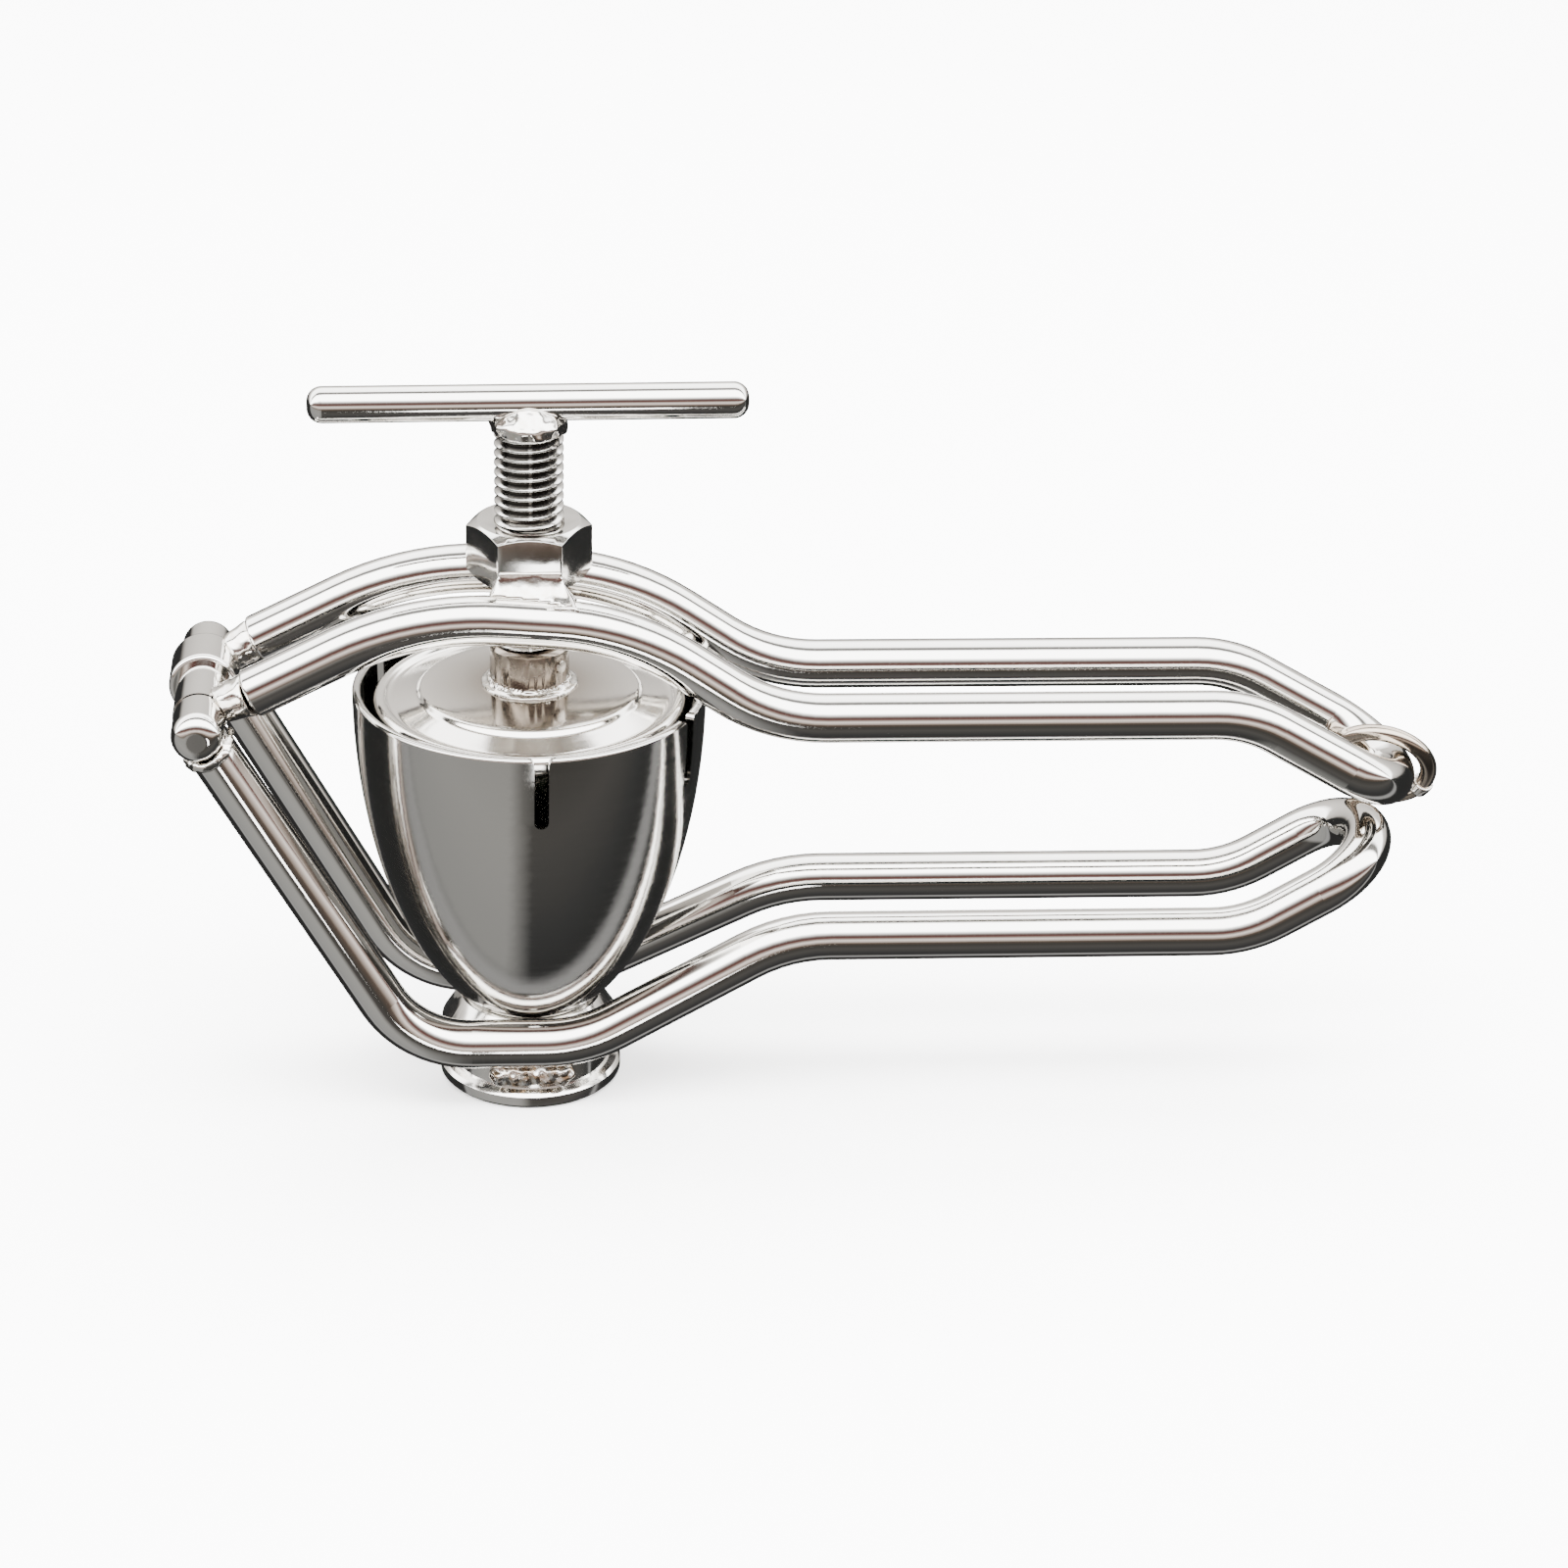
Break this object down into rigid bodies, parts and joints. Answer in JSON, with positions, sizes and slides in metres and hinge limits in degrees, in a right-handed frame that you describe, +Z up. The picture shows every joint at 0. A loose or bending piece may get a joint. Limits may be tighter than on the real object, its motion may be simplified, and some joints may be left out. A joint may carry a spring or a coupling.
{
  "type": "hand fruit press",
  "caption": "Polished steel hand press: two hinged bent-rod levers, a slotted tapered cup and a T-handled screw that drives a domed plunger into the cup.",
  "frame": {"origin": "centre of the foot's underside", "axes": "+X along the handles towards the closed tip, +Y to the back, +Z up along the screw"},
  "size_m": [0.299, 0.082, 0.1747],
  "materials": {
    "polished_rod": "mirror-polished stainless steel",
    "polished_nut": "polished stainless steel, eased corners",
    "polished_weld": "weld, ground and polished",
    "raw_weld": "brushed weld bead",
    "thread_steel": "bright rolled thread",
    "turned_steel": "fine turned",
    "polished_cup": "spun and mirror-polished stainless steel",
    "polished_plunger": "pressed and polished stainless steel",
    "ring_wire": "polished stainless wire",
    "hard_steel": "hardened and ground"
  },
  "bodies": {
    "lower_lever": {"lower_lever_rod": "polished_rod", "hinge_pin": "turned_steel", "hinge_boss_front": "polished_rod", "hinge_boss_back": "polished_rod", "hinge_bead_front": "polished_weld", "hinge_bead_back": "polished_weld", "cup": "polished_cup", "cup_seat": "polished_cup", "foot_ring": "polished_cup", "foot_bead_front": "raw_weld", "foot_bead_back": "raw_weld"},
    "upper_lever": {"upper_lever_rod": "polished_rod", "hinge_sleeve": "polished_rod", "upper_neck_front": "polished_weld", "upper_neck_back": "polished_weld", "screw_nut": "polished_nut", "nut_web_front": "polished_weld", "nut_web_back": "polished_weld"},
    "plunger_group": {"plunger": "polished_plunger", "plunger_socket": "turned_steel", "socket_bead": "polished_weld", "thrust_disc": "hard_steel", "socket_grub_screw": "hard_steel"},
    "screw_group": {"press_screw": "thread_steel", "tee_bar": "polished_rod", "tee_bar_bead": "raw_weld"},
    "ring_group": {"lock_ring": "ring_wire", "lock_ring_bead": "polished_weld"}
  },
  "joints": [
    {"name": "lever_open", "type": "hinge", "parent": "lower_lever", "child": "upper_lever", "pos_m": [-0.0752, 0, 0.1], "axis": [0, -1, 0], "range_deg": [0, 105]},
    {"name": "plunger_feed", "type": "slide", "parent": "upper_lever", "child": "plunger_group", "axis": [0, 0, -1], "range_m": [-0.0058, 0.0197]},
    {"name": "screw_turn", "type": "hinge", "parent": "plunger_group", "child": "screw_group", "pos_m": [0, 0, 0.12], "axis": [0, 0, -1], "range_deg": [-900, 3060]},
    {"name": "ring_swing", "type": "hinge", "parent": "upper_lever", "child": "ring_group", "pos_m": [0.20274, 0.00507, 0.07759], "axis": [0.1388, -0.9871, -0.08], "range_deg": [0, 42]}
  ],
  "couplings": [
    {"joint": "plunger_feed", "follows": "screw_turn", "m_per_rad": 0.00036749}
  ]
}
